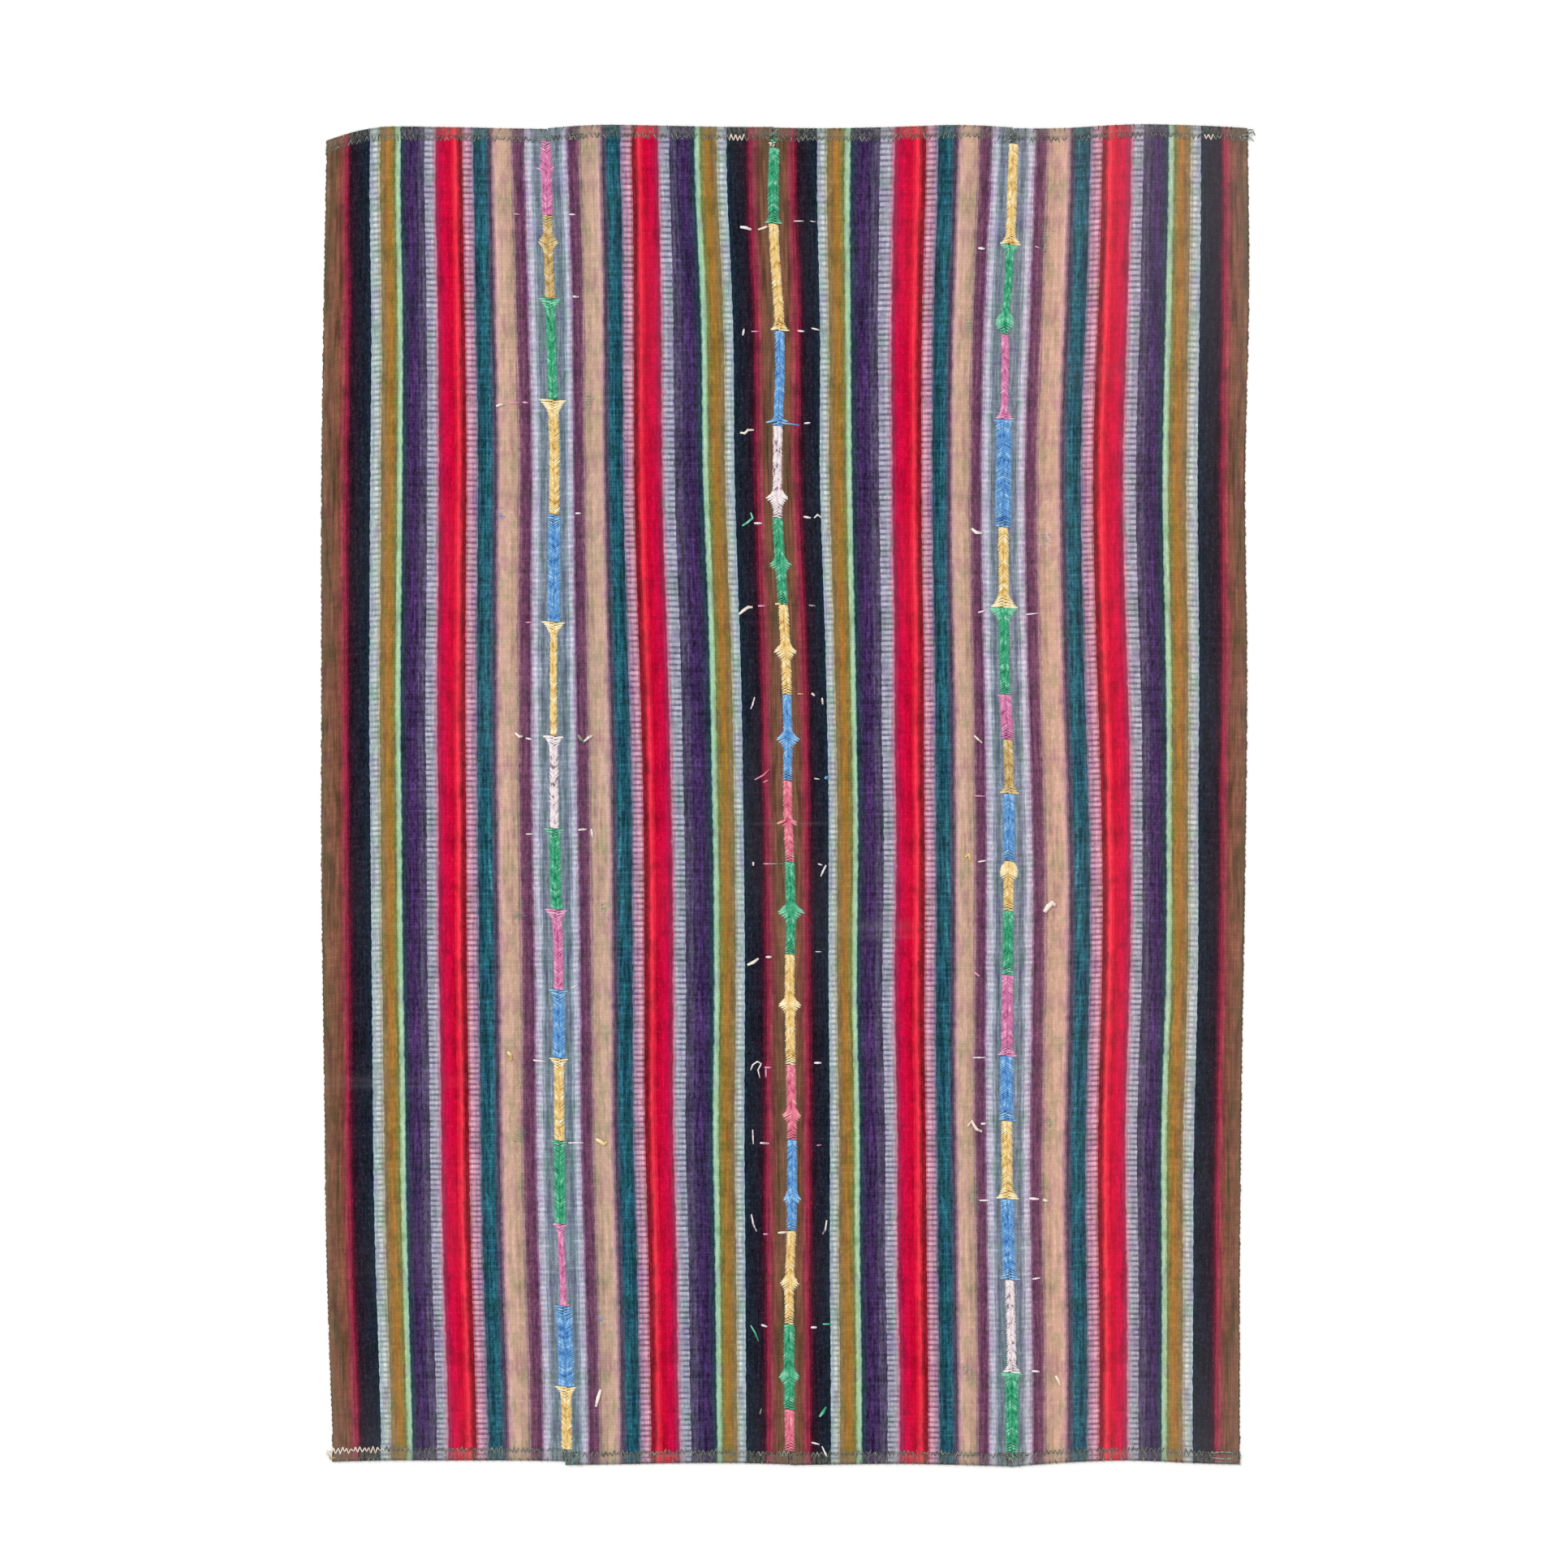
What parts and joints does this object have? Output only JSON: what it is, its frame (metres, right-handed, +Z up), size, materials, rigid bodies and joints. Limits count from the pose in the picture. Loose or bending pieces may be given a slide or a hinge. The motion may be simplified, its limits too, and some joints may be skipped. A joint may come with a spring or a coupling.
{
  "type": "turkish kilim",
  "caption": "Striped flat-woven wool kilim of narrow strips laid edge to edge, with thick fishbone embroidery in changing colours over each join and both ends folded under and sewn.",
  "frame": {"origin": "on the floor, under the middle of the kilim's bounding box", "axes": "+X across the stripes, to the right as seen from above; +Y along the stripes, to the far end; +Z up"},
  "size_m": [1.4058, 2.031, 0.0047],
  "materials": {
    "striped_wool": "warp-faced woven wool, matt",
    "pink_yarn": "wool embroidery yarn, matt",
    "salmon_yarn": "wool embroidery yarn, matt",
    "gold_yarn": "wool embroidery yarn, matt",
    "green_yarn": "wool embroidery yarn, matt",
    "yellow_yarn": "wool embroidery yarn, matt",
    "blue_yarn": "wool embroidery yarn, matt",
    "white_yarn": "wool embroidery yarn, matt"
  },
  "bodies": {
    "root": {"strip_1": "striped_wool", "strip_2": "striped_wool", "strip_3": "striped_wool", "strip_4": "striped_wool", "left_join_01_pink": "pink_yarn", "left_join_02_gold": "gold_yarn", "left_join_03_green": "green_yarn", "left_join_04_yellow": "yellow_yarn", "left_join_05_blue": "blue_yarn", "left_join_06_yellow": "yellow_yarn", "left_join_07_white": "white_yarn", "left_join_08_green": "green_yarn", "left_join_09_pink": "pink_yarn", "left_join_10_blue": "blue_yarn", "left_join_11_yellow": "yellow_yarn", "left_join_12_green": "green_yarn", "left_join_13_pink": "pink_yarn", "left_join_14_blue": "blue_yarn", "left_join_15_yellow": "yellow_yarn", "centre_join_01_green": "green_yarn", "centre_join_02_yellow": "yellow_yarn", "centre_join_03_blue": "blue_yarn", "centre_join_04_white": "white_yarn", "centre_join_05_green": "green_yarn", "centre_join_06_yellow": "yellow_yarn", "centre_join_07_blue": "blue_yarn", "centre_join_08_salmon": "salmon_yarn", "centre_join_09_green": "green_yarn", "centre_join_10_yellow": "yellow_yarn", "centre_join_11_salmon": "salmon_yarn", "centre_join_12_blue": "blue_yarn", "centre_join_13_yellow": "yellow_yarn", "centre_join_14_green": "green_yarn", "centre_join_15_salmon": "salmon_yarn", "right_join_01_yellow": "yellow_yarn", "right_join_02_green": "green_yarn", "right_join_03_pink": "pink_yarn", "right_join_04_blue": "blue_yarn", "right_join_05_yellow": "yellow_yarn", "right_join_06_green": "green_yarn", "right_join_07_pink": "pink_yarn", "right_join_08_gold": "gold_yarn", "right_join_09_blue": "blue_yarn", "right_join_10_yellow": "yellow_yarn", "right_join_11_green": "green_yarn", "right_join_12_pink": "pink_yarn", "right_join_13_blue": "blue_yarn", "right_join_14_yellow": "yellow_yarn", "right_join_15_blue": "blue_yarn", "right_join_16_white": "white_yarn", "right_join_17_green": "green_yarn"}
  },
  "joints": []
}
